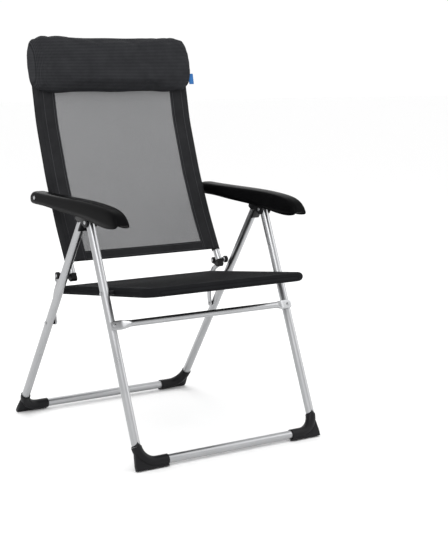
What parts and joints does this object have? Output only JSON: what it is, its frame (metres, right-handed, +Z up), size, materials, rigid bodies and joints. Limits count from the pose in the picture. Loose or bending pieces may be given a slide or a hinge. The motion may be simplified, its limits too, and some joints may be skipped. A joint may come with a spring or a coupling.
{
  "type": "folding camp chair",
  "caption": "High-backed folding chair on two crossing leg frames, with a sling seat, a mesh back, a padded headrest and notched armrests.",
  "frame": {"origin": "on the floor, under the middle of the chair", "axes": "+Z up, the chair faces -Y, +X is the chair's right-hand side seen from in front of it; X = 0 is its plane of symmetry"},
  "size_m": [0.6274, 0.7488, 1.1336],
  "materials": {
    "bright_tube": "satin anodised",
    "link_bar": "satin anodised",
    "fastener": "plated",
    "black_plastic": "fine grain",
    "armrest_plastic": "satin to gloss",
    "seat_fabric": "coated woven sling",
    "back_mesh": "open mesh with solid side bands",
    "pillow_fabric": "padded weave"
  },
  "bodies": {
    "front_frame": {"crossbar_screw_left": "fastener", "crossbar_screw_right": "fastener", "front_crossbar": "bright_tube", "front_foot_left": "black_plastic", "front_foot_right": "black_plastic", "front_leg_frame": "bright_tube", "front_leg_pivot_left": "fastener", "front_leg_pivot_right": "fastener", "seat_pivot_left": "fastener", "seat_pivot_right": "fastener", "seat_pivot_spacer_left": "black_plastic", "seat_pivot_spacer_right": "black_plastic"},
    "rear_frame": {"bracket_rivet_left": "fastener", "bracket_rivet_right": "fastener", "catch_pin_left": "fastener", "catch_pin_right": "fastener", "leg_bracket_left": "black_plastic", "leg_bracket_right": "black_plastic", "link_pivot_left": "fastener", "link_pivot_right": "fastener", "link_spacer_left": "black_plastic", "link_spacer_right": "black_plastic", "rear_foot_left": "black_plastic", "rear_foot_right": "black_plastic", "rear_leg_frame": "bright_tube"},
    "seat": {"seat_frame": "bright_tube", "seat_rail_cap_left": "black_plastic", "seat_rail_cap_right": "black_plastic", "seat_rear_bar": "bright_tube", "seat_sling": "seat_fabric"},
    "links": {"back_link_left": "link_bar", "back_link_right": "link_bar", "hinge_bolt_left": "fastener", "hinge_bolt_right": "fastener", "hinge_boss_left": "black_plastic", "hinge_boss_right": "black_plastic", "seat_link_pin_left": "fastener", "seat_link_pin_right": "fastener"},
    "backrest": {"armrest_bolt_left": "fastener", "armrest_bolt_right": "fastener", "armrest_bush_left": "black_plastic", "armrest_bush_right": "black_plastic", "back_knuckle_left": "black_plastic", "back_knuckle_right": "black_plastic", "backrest_frame": "bright_tube", "backrest_sling": "back_mesh", "headrest": "pillow_fabric", "hinge_bush_left": "black_plastic", "hinge_bush_right": "black_plastic"},
    "armrests": {"armrest_left": "armrest_plastic", "armrest_rack_left": "black_plastic", "armrest_rack_right": "black_plastic", "armrest_right": "armrest_plastic"}
  },
  "joints": [
    {"name": "fold", "type": "hinge", "parent": "front_frame", "child": "rear_frame", "pos_m": [0, -0.10496, 0.631], "axis": [-1, 0, 0], "range_deg": [0, 56.75]},
    {"name": "seat_turn", "type": "hinge", "parent": "front_frame", "child": "seat", "pos_m": [0, -0.18129, 0.4465], "axis": [-1, 0, 0], "range_deg": [-0.02, 96.22]},
    {"name": "link_swing", "type": "hinge", "parent": "rear_frame", "child": "links", "pos_m": [0, 0.15736, 0.312], "axis": [-1, 0, 0], "range_deg": [-0.02, 140.92]},
    {"name": "back_turn", "type": "hinge", "parent": "links", "child": "backrest", "pos_m": [0, 0.0975, 0.458], "axis": [-1, 0, 0], "range_deg": [-197.67, 0.02]},
    {"name": "armrest_turn", "type": "hinge", "parent": "backrest", "child": "armrests", "pos_m": [0, 0.188, 0.674], "axis": [-1, 0, 0], "range_deg": [-0.02, 110.12]}
  ],
  "couplings": [
    {"joint": "seat_turn", "follows": "fold", "ratio": 1.6951},
    {"joint": "link_swing", "follows": "fold", "ratio": 2.4828},
    {"joint": "back_turn", "follows": "fold", "ratio": -3.4828},
    {"joint": "armrest_turn", "follows": "fold", "ratio": 1.9401}
  ]
}
